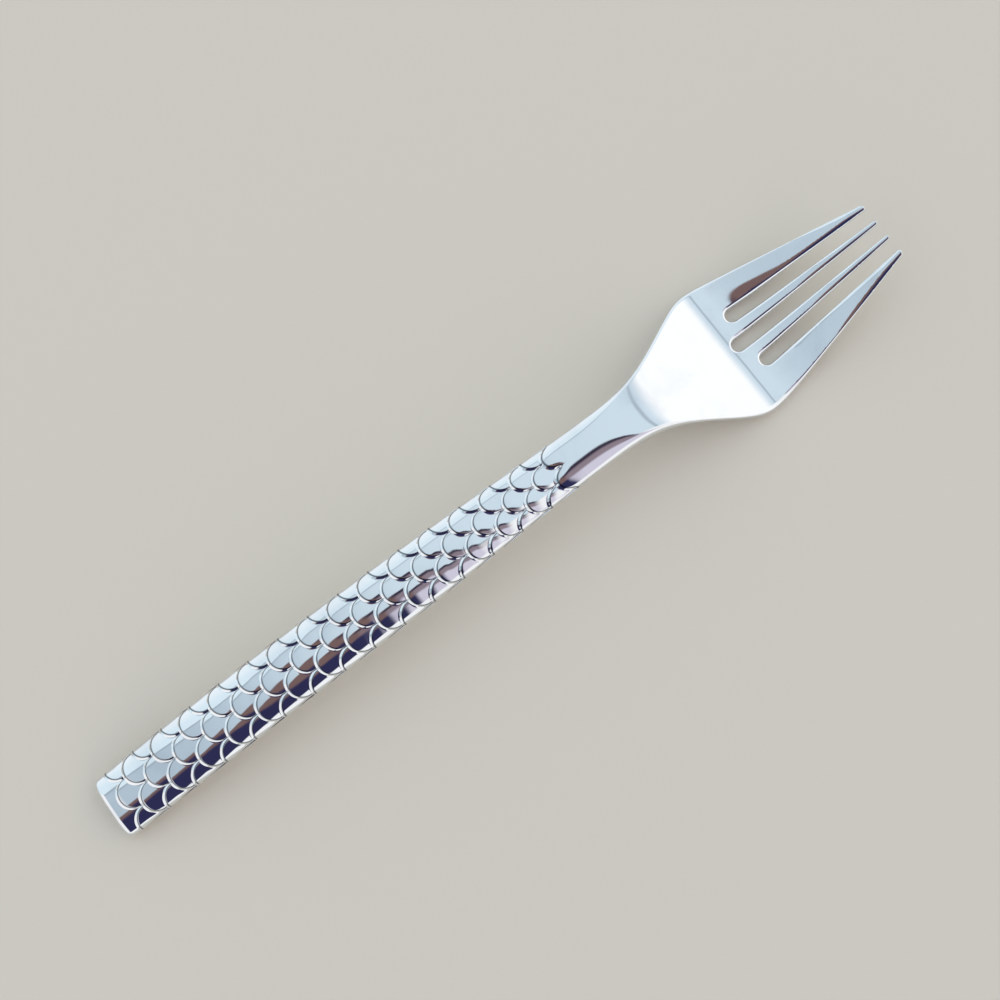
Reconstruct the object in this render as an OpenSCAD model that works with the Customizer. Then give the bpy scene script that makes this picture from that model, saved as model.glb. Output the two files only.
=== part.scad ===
// Fish fork in polished steel, lying face up as on a table.
// The head with its tang is one forging. The handle is two pressed shells that meet on a seam round
// the edge, filled with cement that holds the tang. Overlapping scales are pressed into the front shell.
// Stations are measured along X from the end of the handle. Y is the width and Z is up.

/* [Handle] */
// Length of the handle, from its end to the joint with the head
handle_length = 119; // [105:1:135]
// Width of the handle over its wide half
handle_width = 14; // [12:0.1:18]
// Height of the front shell's crown above the seam
front_crown = 2.5; // [2:0.1:3.5]
// Depth of the back shell below the seam
back_crown = 2.0; // [1.8:0.1:3]
// Wall of the pressed shells
wall = 0.7; // [0.5:0.05:0.9]
// Radius of the corners at the handle's end, seen from above
end_corner = 1.7; // [1:0.1:3]
// Length over which the rim at the handle's end is rounded, and the thickness of the end wall
end_round = 1.4; // [1:0.1:2]

/* [Scales] */
// Distance between one row of scales and the next
row_step = 3.79; // [3:0.01:5]
// Depth of the curved free edge of a scale
scale_arc = 3.1; // [2:0.1:3.4]
// Height of the free edge above the scale below it
relief = 0.4; // [0.2:0.02:0.44]
// Width of the slope at the free edge
edge_bevel = 0.45; // [0.3:0.05:0.6]
// Distance from the free edge at which the scale has its full height
edge_crest = 0.8; // [0.7:0.05:1.2]
// Drop of a scale's rounded rim below its middle
rim_drop = 0.12; // [0:0.02:0.16]
// Width of a scale's rounded rim
rim_width = 2.4; // [1.5:0.1:3]
// Height of the last two lobes above the neck
lobe_height = 0.16; // [0.1:0.02:0.3]
// Plain length between the last lobes and the joint
plain_neck = 5; // [4:0.5:9]

/* [Neck] */
// Width that the handle narrows to at the joint
neck_width = 9.8; // [8:0.1:12]
// Thickness of the neck
neck_thick = 3.6; // [3:0.1:4]
// Length of the tang inside the handle
tang_length = 45; // [25:1:70]
// Width of the tang
tang_width = 5; // [4:0.1:6]
// Thickness of the tang
tang_thick = 1.6; // [1.2:0.1:2]

/* [Head] */
// Length of the head, from the joint to the tips of the tines
head_length = 81; // [75:1:95]
// Width of the head across its shoulders
head_width = 30.8; // [26:0.1:36]
// Distance from the shoulders to the tips
shoulder_to_tip = 40.4; // [36:0.1:46]
// Angle at which the sides spread from the neck to the shoulders
flare_angle = 32.3; // [28:0.1:38]
// Thickness of the bowl
bowl_thick = 2.2; // [1.6:0.1:3]
// Depth of the bowl across its width, on its upper side
bowl_dish = 0.3; // [0:0.1:0.6]

/* [Tines] */
// Number of tines
tine_count = 4; // [3:1:5]
// Width of the slots at their round bottoms
slot_width = 2.8; // [2:0.1:3.4]
// Distance between the slots at their bottoms
slot_pitch = 5.95; // [5:0.05:7]
// Distance from the tips to the bottoms of the outer slots
slot_length = 35.2; // [30:0.1:38]
// Extra depth of the slots nearest the middle
slot_step = 2.9; // [0:0.1:4]
// Distance between the tips of the tines
tip_pitch = 3.95; // [3.4:0.05:4.6]
// Width of a tine near its tip
tip_width = 1.2; // [0.7:0.05:1.4]
// Thickness of the tines at their tips
tip_thick = 1.2; // [0.8:0.1:1.8]

/* [Side profile] */
// Height of the arch of the handle above the table
arch_height = 10.3; // [8:0.1:14]
// Slope of the handle up from its end
end_slope = 0.283; // [0.2:0.005:0.35]
// Slope of the tines up to their tips
tine_slope = 0.313; // [0.2:0.005:0.4]
// Slope of the neck down to the bowl
neck_slope = 0.8; // [0.6:0.01:1]

/* [Hidden] */

steel = [0.78, 0.80, 0.83];
cement_grey = [0.55, 0.52, 0.47];

total_length = handle_length + head_length;
shoulder = total_length - shoulder_to_tip;

// Radii of the soft bends between the straight stretches of the outline
handle_blend = 1.13;
neck_blend = 6.1;
shoulder_blend = 3.36;
// Narrowing of each side of the handle towards the neck, and how far past the joint it goes on
handle_taper = 0.051;
taper_overrun = 2;
// Extra half width at the outer tips, which the outer tines taper to
outer_tip_extra = 0.35;
shoulder_corner = head_width / 2 + shoulder_blend / 2;

// Bends of the side profile, and the corner under the bowl where its two slopes would meet
end_blend = 8;
arch_blend = 6.4;
bowl_blend = 9;
end_height = 3.2;
arch_rise = 0.0077;
bowl_corner = -2.94;
bowl_shift = 0.7;
bowl_low = shoulder + bowl_shift;

// Stretches before and after the joint and before the shoulders, between which the section changes
handle_run = 60;
neck_run = 4;
neck_plain = 10;
bowl_run = 6;
handle_full = handle_length - handle_run;
neck_full = handle_length + neck_run;
bowl_start = handle_length + neck_plain;
bowl_full = shoulder - bowl_run;
// Power of the rounded section: 2 is an ellipse, and a high power is a flat plate with round edges
handle_power = 2.5;
neck_power = 2.8;
bowl_power = 8;

// Share of the crown that is left as a flat face at the handle's end
end_flat = 0.6;

// Rows of scales: the first lies across the end, and the last row is the pair of lobes on the neck
first_row = -0.8;
last_row = 2 * floor((handle_length - plain_neck - first_row) / (2 * row_step));
// Share of a half round that the free edge spans, and the half round's own depth and radius
arc_reach = 0.985;
arc_axis = scale_arc / (1 - sqrt(1 - arc_reach * arc_reach));
scale_radius = handle_width / 4;
// Width of the free edge at the sides of a scale, as a share of its width at the tip
side_share = 0.45;
// Largest share of a scale's length that its free edge takes
edge_share = 0.55;
// How fast the last row closes over the notch between its lobes, and how steep their edges are
close_rate = 0.5;
lobe_share = 0.75;
// Length over which the relief rises from the handle's end
end_fade = 1;
// Share of the relief that is left at the seam, and the v at which it begins to fall
seam_share = 0.4;
seam_start = 1.7;
// Number of rows that a row lies over
rows_below = 2;

tip_round = tip_width / 2;
tang_root = 6;
tang_taper = 0.7;

function soft_min(a, b, r) = (a + b - sqrt((a - b) * (a - b) + r * r)) / 2;
function soft_max(a, b, r) = (a + b + sqrt((a - b) * (a - b) + r * r)) / 2;
function ease(a, b, s) =
  let (t = min(1, max(0, (s - a) / (b - a))))
  t * t * t * (10 - 15 * t + 6 * t * t);

// How far an arc of radius r has drawn in at distance d from its square corner
function corner_cut(r, d) = d >= r ? 0 : r - sqrt(r * r - (r - d) * (r - d));

// Half of the outline's width at a station
function half_width(s) =
  let (
    narrowing = neck_width / 2 + handle_taper * (handle_length + taper_overrun - s),
    handle = soft_min(handle_width / 2, narrowing, handle_blend),
    flare = shoulder_corner + tan(flare_angle) * (s - shoulder),
    tip = (tine_count - 1) * tip_pitch / 2 + tip_width / 2 + outer_tip_extra,
    taper = shoulder_corner + (tip - shoulder_corner) * (s - shoulder) / shoulder_to_tip
  )
  soft_min(soft_max(handle, flare, neck_blend), taper, shoulder_blend)
  - corner_cut(end_corner, s)
  - corner_cut(tip_round, total_length - s);

// Height of the middle of the section, before the fork is set down on the table
function profile(s) =
  let (
    rise = end_height + end_slope * s,
    arch = arch_height + arch_rise * s,
    fall = bowl_corner - neck_slope * (s - bowl_low),
    climb = bowl_corner + tine_slope * (s - bowl_low)
  )
  soft_max(soft_min(soft_min(rise, arch, end_blend), fall, arch_blend), climb, bowl_blend);

// Rounding of the rim at the handle's end, as a share of the full depth
function end_share(s) = 1 - (1 - end_flat) * corner_cut(end_round, s) / end_round;

function head_depth(s) =
  (bowl_thick - neck_thick) / 2 * ease(bowl_start, bowl_full, s)
  + (tip_thick - bowl_thick) / 2 * ease(shoulder, total_length, s);
function handle_depth(s, full) =
  end_share(s) * (full + (neck_thick / 2 - full) * ease(handle_full, neck_full, s));
function front_depth(s) = handle_depth(s, front_crown) + head_depth(s);
function back_depth(s) = handle_depth(s, back_crown) + head_depth(s);
function power(s) =
  handle_power + (neck_power - handle_power) * ease(handle_full, neck_full, s)
  + (bowl_power - neck_power) * ease(bowl_start, bowl_full, s);
function dish(s) = bowl_dish * ease(bowl_start, bowl_full, s) * (1 - ease(shoulder, total_length, s));

// Rounded section: height of the skin at v, which runs from -2 at one edge to 2 at the other
function crown(s, v) = pow(max(0, 1 - pow(abs(v / 2), power(s))), 1 / power(s));

// The lowest point of the underside touches the table
rest_steps = 1000;
rest_level = min([for (k = [0 : rest_steps])
  let (s = k * total_length / rest_steps) profile(s) - back_depth(s)]);

function seam_height(s) = profile(s) - rest_level;
function skin(s, v, grow, depth) = [
  s - total_length / 2,
  (half_width(s) + grow) * v / 2,
  seam_height(s) + depth * crown(s, v)
];
function front_skin(s, v, grow) =
  skin(s, v, grow, front_depth(s) + grow - dish(s) * (1 - v * v / 4));
function back_skin(s, v, grow) = skin(s, v, grow, -back_depth(s) - grow);

// Columns across the width, closer together on the axes of the scales
scale_steps = 8;
columns = concat(
  [for (p = [-2 : 1], k = [0 : scale_steps - 1]) p + (1 - cos(180 * k / scale_steps)) / 2],
  [2]
);
function even_columns(n) = [for (k = [0 : n]) 2 * sin(180 * k / n - 90)];
inner_stride = 2;
inner_columns = [for (k = [0 : inner_stride : len(columns) - 1]) columns[k]];
back_columns = even_columns(12);

// Distance of v from the axis of the nearest scale in a row: alternate rows are shifted by one column
function off_axis(row, v) = let (t = v + 2 + row % 2) abs(t - 2 * floor(t / 2) - 1);
// Stations of the tips of a row of scales, and of its free edge
function scale_tip(row) = first_row + row * row_step;
function free_edge(row, v) =
  let (q = arc_reach * off_axis(row, v))
  scale_tip(row) + arc_axis * (1 - sqrt(1 - q * q));
function next_edge(row, v) = row < last_row ? free_edge(row + 1, v) : handle_length;
// How far a point lies inside the free edge of its scale
function inside_edge(row, s, v) =
  let (
    along = min(0, (s - scale_tip(row)) / arc_axis - 1),
    closed = row == last_row ? max(0, s - scale_tip(row) - scale_arc) : 0
  )
  scale_radius * (1 - norm([arc_reach * off_axis(row, v), along])) + close_rate * closed;
// The same, counted longer at the sides, where the edge is narrower
function edge_gap(row, s, v) =
  let (side = 1 - (1 - side_share) * pow(off_axis(row, v), 2))
  inside_edge(row, s, v) * (row == last_row ? lobe_share : 1) / side;
// Share of a scale's height that is reached inside its free edge: a slope that rounds over
function cover(gap) =
  let (
    run = edge_crest - edge_bevel,
    turn = min(1, max(0, (gap - edge_bevel) / run))
  )
  (min(max(gap, 0), edge_bevel) + run * (turn - turn * turn / 2)) / (edge_bevel + run / 2);
// Drop of the rounded rim
function rim(row, s, v) = rim_drop * pow(max(0, 1 - max(0, inside_edge(row, s, v)) / rim_width), 2);
// Share of the lobes' height that is left on their even fall to the neck
function lobe_fade(s) =
  let (start = scale_tip(last_row) + edge_crest)
  (handle_length - max(s, start)) / (handle_length - start);
// Top of a row of scales, which falls towards the row that lies over it, or to the neck
function scale_top(row, s, v) =
  let (slope = relief / row_step, middle = (row_step + scale_arc) / 2)
  row == last_row
    ? (lobe_height - rim(row, s, v)) * lobe_fade(s)
    : slope * (middle - s + scale_tip(row)) - (row == 0 ? 0 : rim(row, s, v));
// Each row lies over those before it
function layered(row, s, v, below) =
  below == 0
    ? scale_top(row, s, v)
    : let (low = layered(row - 1, s, v, below - 1))
      low + (scale_top(row, s, v) - low) * cover(edge_gap(row, s, v));
function scale_height(row, s, v) =
  layered(row, s, v, min(row, rows_below)) * ease(0, end_fade, s)
  * (1 - (1 - seam_share) * ease(seam_start, 2, abs(v)));
function scale_skin(row, s, v) = front_skin(s, v, scale_height(row, s, v));
// Lines over one row: the foot of the free edge, the end of its slope and its crest
edge_lines = [0, edge_bevel, edge_crest];
function scale_point(row, way, v) =
  let (
    foot = free_edge(row, v),
    near = min(1, edge_share * (next_edge(row, v) - foot) / edge_crest)
  )
  scale_skin(row, foot + way * near, v);

// Lines of points across the front shell, from the handle's end to the joint
end_stations = [for (a = [0, 30, 50, 70, 90]) end_round * (1 - cos(a))];
front_lines = concat(
  [for (s = end_stations) [for (v = columns) scale_skin(0, s, v)]],
  [for (row = [1 : last_row], way = edge_lines) [for (v = columns) scale_point(row, way, v)]],
  [[for (v = columns) front_skin(handle_length, v, 0)]]
);
// Stations at which these lines meet the seam, which the back shell shares
seam_stations = [for (line = front_lines) line[len(columns) - 1].x + total_length / 2];
back_lines = [for (s = seam_stations) [for (v = back_columns) back_skin(s, v, 0)]];
// Lines at which the insides of the shells have a row of points
inside_lines = concat(
  [len(end_stations) - 1],
  [for (row = [1 : 2 : last_row - 1]) len(end_stations) + len(edge_lines) * (row - 1)],
  [len(front_lines) - 1]
);
front_inside = [for (k = inside_lines) [for (v = inner_columns) front_skin(seam_stations[k], v, -wall)]];
back_inside = [for (k = inside_lines) [for (v = back_columns) back_skin(seam_stations[k], v, -wall)]];

function flat_list(grid) = [for (line = grid) for (p = line) p];
function fan(face) = [for (k = [1 : len(face) - 2]) [face[0], face[k], face[k + 1]]];
function backwards(list) = [for (k = [len(list) - 1 : -1 : 0]) list[k]];
// Triangles between two neighbouring lines of points, whose numbers start at a and b
function strip(a, b, count) = [
  for (j = [0 : count - 2])
    for (face = fan([a + j, a + j + 1, b + j + 1, b + j])) face
];

// Half of the handle: a skin with relief outside, a plain skin inside, closed at the handle's end
function shell_faces(outer, inner, stride) =
  let (
    n = len(outer[0]),
    m = len(inner[0]),
    first_inside = len(outer) * n,
    bays = len(inner) - 1,
    wall_line = inside_lines[0],
    last_outer = (len(outer) - 1) * n,
    last_inner = first_inside + bays * m
  )
  concat(
    [for (i = [0 : len(outer) - 2]) for (face = strip(i * n, (i + 1) * n, n)) face],
    [for (b = [0 : bays - 1])
      for (face = strip(first_inside + b * m, first_inside + (b + 1) * m, m)) backwards(face)],
    fan([for (j = [n - 1 : -1 : 0]) j]),
    [for (i = [0 : wall_line - 2])
      for (face = fan([i * n, (i + 1) * n, (i + 2) * n - 1, (i + 1) * n - 1])) face],
    fan([
      (wall_line - 1) * n, wall_line * n, first_inside, first_inside + m - 1,
      (wall_line + 1) * n - 1, wall_line * n - 1
    ]),
    fan([for (j = [0 : m - 1]) first_inside + j]),
    [for (b = [0 : bays - 1])
      for (face = fan(concat(
        [first_inside + b * m],
        [for (i = [inside_lines[b] : inside_lines[b + 1]]) i * n],
        [first_inside + (b + 1) * m]
      ))) face],
    [for (b = [0 : bays - 1])
      for (face = fan(concat(
        [first_inside + (b + 1) * m - 1, first_inside + (b + 2) * m - 1],
        [for (i = [inside_lines[b + 1] : -1 : inside_lines[b]]) (i + 1) * n - 1]
      ))) face],
    [for (j = [0 : m - 2])
      for (face = fan(concat(
        [last_inner + j],
        [for (k = [stride * j : stride * (j + 1)]) last_outer + k],
        [last_inner + j + 1]
      ))) face]
  );

// Closed skin through rings of points, each ring clockwise as seen from the tips
module loft(rings) {
  n = len(rings[0]);
  last = (len(rings) - 1) * n;
  polyhedron(
    points = flat_list(rings),
    faces = concat(
      [for (i = [0 : len(rings) - 2], k = [0 : n - 1])
        for (face = fan([i * n + k, i * n + (k + 1) % n, (i + 1) * n + (k + 1) % n, (i + 1) * n + k])) face],
      fan([for (k = [n - 1 : -1 : 0]) k]),
      fan([for (k = [0 : n - 1]) last + k])
    ),
    convexity = 6
  );
}

// A ring of the section from its front and back lines, which share the two points at the seam
function ring(front, back) = concat(front, [for (k = [len(back) - 2 : -1 : 1]) back[k]]);

// Blank of the head, before the slots are cut
head_columns = even_columns(16);
// Stations along the head, close together round the shoulders
shoulder_run = 8;
function spaced(from, to, count) = [for (k = [0 : count - 1]) from + (to - from) * k / count];
head_stations = concat(
  spaced(handle_length, bowl_full, 12),
  spaced(bowl_full, shoulder + shoulder_run, 14),
  spaced(shoulder + shoulder_run, total_length - tip_round, 8),
  [for (a = [0, 30, 60, 90]) total_length - tip_round * (1 - sin(a))]
);
module head_blank() {
  loft([for (s = head_stations)
    ring([for (v = head_columns) front_skin(s, v, 0)], [for (v = head_columns) back_skin(s, v, 0)])]);
}

// Outline of one slot, from its round bottom out past the rounded tips on either side
module slot(i) {
  bottom = total_length / 2 - slot_length - slot_step * max(0, 1 - abs(i));
  tip_half = (tip_pitch - tip_width) / 2;
  root = [bottom + slot_width / 2, i * slot_pitch];
  tip = [total_length / 2, i * tip_pitch];
  margin = 2;
  side = concat(
    [for (a = [0 : 15 : 90]) [root.x - slot_width / 2 * cos(a), slot_width / 2 * sin(a)]],
    [for (a = [0 : 30 : 90]) [tip.x - tip_round * (1 - sin(a)), tip_half + tip_round * (1 - cos(a))]],
    [[tip.x + margin, tip_half + tip_round]]
  );
  function middle(x) = root.y + (tip.y - root.y) * max(0, x - root.x) / (tip.x - root.x);
  translate([0, 0, -margin])
    linear_extrude(4 * arch_height)
      polygon(concat(
        [for (p = side) [p.x, middle(p.x) + p.y]],
        [for (k = [len(side) - 1 : -1 : 1]) [side[k].x, middle(side[k].x) - side[k].y]]
      ));
}

// Bar inside the handle that carries the head, narrower towards its end
module tang() {
  stations = [for (k = [0 : 4]) handle_length - tang_length + k * tang_length / 4];
  function tang_ring(s) =
    let (
      half = tang_width / 2 * (tang_taper + (1 - tang_taper) * ease(stations[0], handle_length, s)),
      x = s - total_length / 2,
      z = seam_height(s)
    )
    [
      [x, -half, z - tang_thick / 2], [x, -half, z + tang_thick / 2],
      [x, half, z + tang_thick / 2], [x, half, z - tang_thick / 2]
    ];
  loft([for (s = concat(stations, [handle_length + tang_root])) tang_ring(s)]);
}

module fork_head() {
  color(steel) {
    difference() {
      head_blank();
      for (k = [1 : tine_count - 1]) {
        slot(k - tine_count / 2);
      }
    }
    tang();
  }
}

module handle_front() {
  color(steel)
    polyhedron(
      points = concat(flat_list(front_lines), flat_list(front_inside)),
      faces = shell_faces(front_lines, front_inside, inner_stride),
      convexity = 6
    );
}

module handle_back() {
  color(steel)
    polyhedron(
      points = concat(flat_list(back_lines), flat_list(back_inside)),
      faces = [for (face = shell_faces(back_lines, back_inside, 1)) backwards(face)],
      convexity = 6
    );
}

module handle_cement() {
  color(cement_grey)
    difference() {
      loft([for (k = [0 : len(front_inside) - 1]) ring(front_inside[k], back_inside[k])]);
      tang();
    }
}

fork_head();
handle_front();
handle_back();
handle_cement();
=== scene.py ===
"""Dressed model of a fish fork in mirror-polished steel.

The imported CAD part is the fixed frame. Each steel piece gets a finer mesh made from
the same sizes, and every piece gets a procedural finish. Stations run along X from the
end of the handle, Y is the width and Z is up. Places across the width run from -SIDE at
one edge to SIDE at the other. Sizes are in millimetres until a mesh is made.
"""

import logging
import math
from dataclasses import dataclass, field
from enum import Enum

import bmesh
import bpy
import numpy as np
from mathutils import Matrix, Vector
from mathutils.geometry import delaunay_2d_cdt


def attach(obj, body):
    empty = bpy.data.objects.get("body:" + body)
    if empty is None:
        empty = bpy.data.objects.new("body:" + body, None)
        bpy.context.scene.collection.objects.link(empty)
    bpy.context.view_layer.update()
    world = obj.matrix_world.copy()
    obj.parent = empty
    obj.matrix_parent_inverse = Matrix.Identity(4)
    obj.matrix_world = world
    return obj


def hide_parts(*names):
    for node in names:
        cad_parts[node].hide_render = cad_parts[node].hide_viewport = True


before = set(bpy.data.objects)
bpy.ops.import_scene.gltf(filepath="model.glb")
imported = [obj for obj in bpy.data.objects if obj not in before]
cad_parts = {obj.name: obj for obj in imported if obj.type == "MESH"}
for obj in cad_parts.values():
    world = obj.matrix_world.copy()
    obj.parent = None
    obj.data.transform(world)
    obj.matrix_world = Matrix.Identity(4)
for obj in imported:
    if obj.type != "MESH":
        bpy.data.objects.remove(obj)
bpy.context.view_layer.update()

MM = 0.001
SIDE = 2
SAME_PLACE = 1e-6
PLAN_LIMIT = 1e-7
BODY = "root"
EDGE_GAP = "edge_gap"
LOG = logging.getLogger("fish_fork")

Array = np.ndarray
Colour = tuple[float, float, float]
Span = tuple[float, float]
Polygon = list[int]


class Face(Enum):
    """Side of the fork that a skin lies on."""

    FRONT = 1
    BACK = -1


class Effect(Enum):
    """Names of the shader node groups that the steel finishes share."""

    MARKS = "polishing_marks"
    HAZE = "handling_haze"


def soft_min(a: Array, b: Array, radius: float) -> Array:
    """Return the lesser of two lines, with a soft bend where they cross."""
    return (a + b - np.sqrt((a - b) ** 2 + radius * radius)) / 2


def soft_max(a: Array, b: Array, radius: float) -> Array:
    """Return the greater of two lines, with a soft bend where they cross."""
    return (a + b + np.sqrt((a - b) ** 2 + radius * radius)) / 2


def ease(start: float, end: float, s: Array) -> Array:
    """Rise smoothly from 0 to 1 between two stations.

    Args:
        start: Station up to which the value is 0.
        end: Station from which the value is 1.
        s: Stations.

    Returns:
        The share at each station.
    """
    t = np.clip((s - start) / (end - start), 0, 1)
    return t**3 * (10 - 15 * t + 6 * t * t)


def corner_cut(radius: float, distance: Array) -> Array:
    """Return how far an arc has drawn in at a distance from its square corner."""
    gap = np.clip(radius - distance, 0, radius)
    return radius - np.sqrt(radius * radius - gap * gap)


def rolled(share: Array, roll: Array) -> Array:
    """Return the height of a rounded edge, from 0 at the edge to 1 where it is flat.

    Args:
        share: Distance from the edge as a share of the rounding's width.
        roll: Power of the rounding: 2 is an ellipse, and less is nearer a slope.

    Returns:
        The height as a share of the full depth.
    """
    return (1 - (1 - np.clip(share, 0, 1)) ** roll) ** (1 / roll)


def edge_ways(corners: Array) -> Array:
    """Return unit vectors along an outline at its corners.

    Args:
        corners: Corners of the outline, in order.

    Returns:
        One vector for each corner, halfway between those of the stretches beside it.
    """
    run = np.diff(corners, axis=0)
    run /= np.linalg.norm(run, axis=1)[:, None]
    way = np.concatenate([run[:1], run[:-1] + run[1:], run[-1:]])
    return way / np.linalg.norm(way, axis=1)[:, None]


@dataclass(frozen=True)
class ForkForm:
    """Outline, side profile and section that all pieces of the fork share."""

    # Handle: its outline, its depth and the roundings at its end.
    handle_length: float = 119.0
    handle_width: float = 14.0
    front_crown: float = 2.5
    back_crown: float = 2.0
    end_corner: float = 1.7
    end_round: float = 1.4
    end_flat: float = 0.6
    # Neck, bowl and tines.
    neck_width: float = 9.8
    neck_thick: float = 3.6
    head_length: float = 81.0
    head_width: float = 30.8
    shoulder_to_tip: float = 40.4
    flare_angle: float = 32.3
    bowl_thick: float = 2.2
    bowl_dish: float = 0.3
    tine_count: int = 4
    tip_pitch: float = 3.95
    tip_width: float = 1.2
    tip_thick: float = 1.2
    outer_tip_extra: float = 0.35
    # Outline: bends between its stretches, and the taper of the handle.
    handle_blend: float = 1.13
    neck_blend: float = 6.1
    shoulder_blend: float = 3.36
    handle_taper: float = 0.051
    taper_overrun: float = 2.0
    # Side profile: heights, slopes and bends of the section's middle.
    arch_height: float = 10.3
    end_height: float = 3.2
    end_slope: float = 0.283
    arch_rise: float = 0.0077
    neck_slope: float = 0.8
    tine_slope: float = 0.313
    end_blend: float = 8.0
    arch_blend: float = 6.4
    bowl_blend: float = 9.0
    bowl_corner: float = -2.94
    bowl_shift: float = 0.7
    # Lengths over which the section changes, and powers of its crown.
    handle_run: float = 60.0
    neck_run: float = 4.0
    neck_plain: float = 10.0
    bowl_run: float = 6.0
    handle_power: float = 2.5
    neck_power: float = 2.8
    # Room under the fork, and steps to find its lowest place by.
    clearance: float = 0.0004
    level_steps: int = 1001

    @property
    def length(self) -> float:
        """Length of the whole fork."""
        return self.handle_length + self.head_length

    @property
    def shoulder(self) -> float:
        """Station of the shoulders."""
        return self.length - self.shoulder_to_tip

    @property
    def tip_round(self) -> float:
        """Radius of the corners of the tips, seen from above."""
        return self.tip_width / 2

    @property
    def bowl_start(self) -> float:
        """Station at which the neck starts to thin into the bowl."""
        return self.handle_length + self.neck_plain

    @property
    def bowl_full(self) -> float:
        """Station at which the bowl has its own thickness."""
        return self.shoulder - self.bowl_run

    def half_width(self, s: Array) -> Array:
        """Return half of the outline's width at stations.

        Args:
            s: Stations.

        Returns:
            Half widths in millimetres.
        """
        corner = (self.head_width + self.shoulder_blend) / 2
        narrowing = self.handle_length + self.taper_overrun - s
        handle = soft_min(
            np.full_like(s, self.handle_width / 2),
            self.neck_width / 2 + self.handle_taper * narrowing,
            self.handle_blend,
        )
        flare = corner + math.tan(math.radians(self.flare_angle)) * (s - self.shoulder)
        tip = (self.tine_count - 1) * self.tip_pitch / 2
        tip += self.tip_width / 2 + self.outer_tip_extra
        taper = corner + (tip - corner) * (s - self.shoulder) / self.shoulder_to_tip
        sides = soft_min(
            soft_max(handle, flare, self.neck_blend), taper, self.shoulder_blend
        )
        sides = sides - corner_cut(self.end_corner, s)
        return sides - corner_cut(self.tip_round, self.length - s)

    def profile(self, s: Array) -> Array:
        """Return the height of the section's middle before the fork is set down.

        Args:
            s: Stations.

        Returns:
            Heights in millimetres.
        """
        low = self.shoulder + self.bowl_shift
        rise = self.end_height + self.end_slope * s
        arch = self.arch_height + self.arch_rise * s
        fall = self.bowl_corner - self.neck_slope * (s - low)
        climb = self.bowl_corner + self.tine_slope * (s - low)
        over = soft_min(soft_min(rise, arch, self.end_blend), fall, self.arch_blend)
        return soft_max(over, climb, self.bowl_blend)

    def depth(self, s: Array, face: Face) -> Array:
        """Return the thickness between the seam and one skin.

        Args:
            s: Stations.
            face: Skin to measure to.

        Returns:
            The depth at the middle of the width.
        """
        full = self.front_crown if face is Face.FRONT else self.back_crown
        start = self.handle_length - self.handle_run
        end = self.handle_length + self.neck_run
        rim = 1 - (1 - self.end_flat) * corner_cut(self.end_round, s) / self.end_round
        handle = rim * (full + (self.neck_thick / 2 - full) * ease(start, end, s))
        thin = (self.bowl_thick - self.neck_thick) / 2
        point = (self.tip_thick - self.bowl_thick) / 2
        bowl = thin * ease(self.bowl_start, self.bowl_full, s)
        return handle + bowl + point * ease(self.shoulder, self.length, s)

    def dish(self, s: Array) -> Array:
        """Return how far the bowl's middle lies below its sides on the upper skin."""
        tines = 1 - ease(self.shoulder, self.length, s)
        return self.bowl_dish * ease(self.bowl_start, self.bowl_full, s) * tines

    def rest_level(self) -> float:
        """Return the lowest height of the underside, on which the fork rests.

        Returns:
            The height before the fork is set down, less a small clearance.
        """
        s = np.linspace(0, self.length, self.level_steps)
        low = np.min(self.profile(s) - self.depth(s, Face.BACK))
        return float(low) - self.clearance

    def crown(self, s: Array, across: Array) -> Array:
        """Return the section of the handle and neck as a share of its depth.

        Args:
            s: Stations.
            across: Distance from the middle as a share of the half width.

        Returns:
            The height above the seam, 1 at the middle and 0 at the edge.
        """
        start = self.handle_length - self.handle_run
        end = self.handle_length + self.neck_run
        power = self.handle_power
        power = power + (self.neck_power - power) * ease(start, end, s)
        return (1 - np.clip(across, 0, 1) ** power) ** (1 / power)

    def skin(self, s: Array, v: Array, rise: Array, face: Face) -> Array:
        """Return points on a skin of the handle.

        Args:
            s: Stations.
            v: Places across the width.
            rise: Height of the relief, or less than 0 for the inside of the wall.
            face: Skin to follow.

        Returns:
            Points in the row frame, in millimetres, with x, y and z last.
        """
        level = self.profile(s) - self.rest_level()
        share = self.crown(s, np.abs(v) / SIDE)
        z = level + face.value * (self.depth(s, face) + rise) * share
        y = (self.half_width(s) + rise) * v / SIDE
        return np.stack(np.broadcast_arrays(s - self.length / 2, y, z), axis=-1)


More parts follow.
